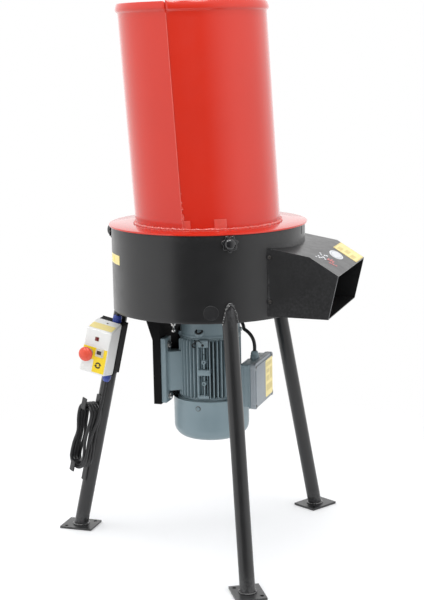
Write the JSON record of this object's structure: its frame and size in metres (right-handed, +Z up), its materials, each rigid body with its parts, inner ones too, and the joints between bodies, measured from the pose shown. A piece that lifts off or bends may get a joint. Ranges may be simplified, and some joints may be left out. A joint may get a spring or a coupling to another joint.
{
  "type": "fruit crusher",
  "caption": "Vertical electric fruit crusher on splayed legs: leaning feed hopper on a lift-off clamped lid, round cutting chamber with side chute, motor below, switch box and stowed cable.",
  "frame": {"origin": "centre of the footprint's bounding box, on the floor under the foot plates", "axes": "+Z up, +X towards the outlet chute, rear leg with the switch box towards -X, +Y away from the switch box's face"},
  "size_m": [0.751, 0.733, 1.3028],
  "materials": {
    "red_paint": "gloss",
    "black_paint": "satin gloss",
    "motor_grey": "satin",
    "zinc": "bright zinc",
    "steel": "machined",
    "stainless": "brushed",
    "lamination": "dark lamination",
    "black_plastic": "moulded",
    "white_plastic": "moulded",
    "blue_plastic": "moulded",
    "red_plastic": "moulded",
    "window_red": "smoked lens",
    "black_rubber": "matte"
  },
  "bodies": {
    "frame": {"drum_shell": "black_paint", "drum_floor": "black_paint", "leg_rear": "black_paint", "leg_left": "black_paint", "leg_right": "black_paint", "foot_plate_rear": "black_paint", "foot_plate_left": "black_paint", "foot_plate_right": "black_paint", "outlet_chute": "black_paint", "motor_mount_plate": "black_paint", "switch_bracket": "black_paint", "cable_hook_upper": "black_paint", "cable_hook_lower": "black_paint", "motor_frame": "motor_grey", "motor_end_shield_top": "motor_grey", "motor_end_shield_bottom": "motor_grey", "fan_cowl": "motor_grey", "terminal_box": "motor_grey", "terminal_box_lid": "motor_grey", "terminal_gland": "motor_grey", "chute_screw_left_upper": "zinc", "chute_screw_left_lower": "zinc", "chute_screw_right_upper": "zinc", "chute_screw_right_lower": "zinc", "motor_foot_bolt_left_lower": "zinc", "motor_foot_bolt_left_upper": "zinc", "motor_foot_bolt_right_lower": "zinc", "motor_foot_bolt_right_upper": "zinc", "floor_stud": "zinc", "bearing_top": "steel", "bearing_bottom": "steel", "stator_core": "lamination", "switch_base": "black_plastic", "switch_cover": "white_plastic", "gland_top": "blue_plastic", "gland_bottom": "blue_plastic", "pilot_window": "window_red", "shaft_seal": "black_rubber", "motor_cable": "black_rubber", "mains_hank": "black_rubber", "mains_lead": "black_rubber", "mains_tail": "black_rubber", "mains_plug": "black_rubber"},
    "rotor": {"motor_shaft": "steel", "rotor_core": "lamination", "cooling_fan": "black_plastic", "ejector_hub": "stainless", "cutter_disc": "stainless", "cutter_blade": "stainless", "hub_bolt": "zinc"},
    "lid": {"lid_plate": "red_paint", "lid_skirt": "red_paint", "hopper_tube": "red_paint"},
    "knob_rear": {"clamp_knob_rear": "black_plastic"},
    "knob_left": {"clamp_knob_left": "black_plastic"},
    "knob_right": {"clamp_knob_right": "black_plastic"},
    "estop_plunger": {"estop_stem": "black_plastic"},
    "estop_knob": {"estop_head": "red_plastic"},
    "start_button": {"start_button": "black_plastic"}
  },
  "joints": [
    {"name": "rotor_spin", "type": "hinge", "parent": "frame", "child": "rotor", "pos_m": [0.0275, 0, 0.6], "axis": [0, 0, 1], "continuous": true},
    {"name": "lid_lift", "type": "slide", "parent": "frame", "child": "lid", "axis": [0, 0, 1], "range_m": [0, 0.3]},
    {"name": "knob_rear_turn", "type": "hinge", "parent": "frame", "child": "knob_rear", "pos_m": [-0.20621, -0.02456, 0.771], "axis": [-0.9945, -0.1045, 0], "range_deg": [0, 1080]},
    {"name": "knob_left_turn", "type": "hinge", "parent": "frame", "child": "knob_left", "pos_m": [0.145, -0.20352, 0.771], "axis": [0.5, -0.866, 0], "range_deg": [0, 1080]},
    {"name": "knob_right_turn", "type": "hinge", "parent": "frame", "child": "knob_right", "pos_m": [0.145, 0.20352, 0.771], "axis": [0.5, 0.866, 0], "range_deg": [0, 1080]},
    {"name": "estop_push", "type": "slide", "parent": "frame", "child": "estop_plunger", "axis": [0, 1, 0], "range_m": [0, 0.006]},
    {"name": "estop_release_turn", "type": "hinge", "parent": "estop_plunger", "child": "estop_knob", "pos_m": [-0.23951, -0.136, 0.48696], "axis": [0, 1, 0], "range_deg": [0, 45], "stiffness_Nm_per_rad": 0.08},
    {"name": "start_push", "type": "slide", "parent": "frame", "child": "start_button", "axis": [0, 1, 0], "range_m": [0, 0.003], "stiffness_N_per_m": 600}
  ]
}
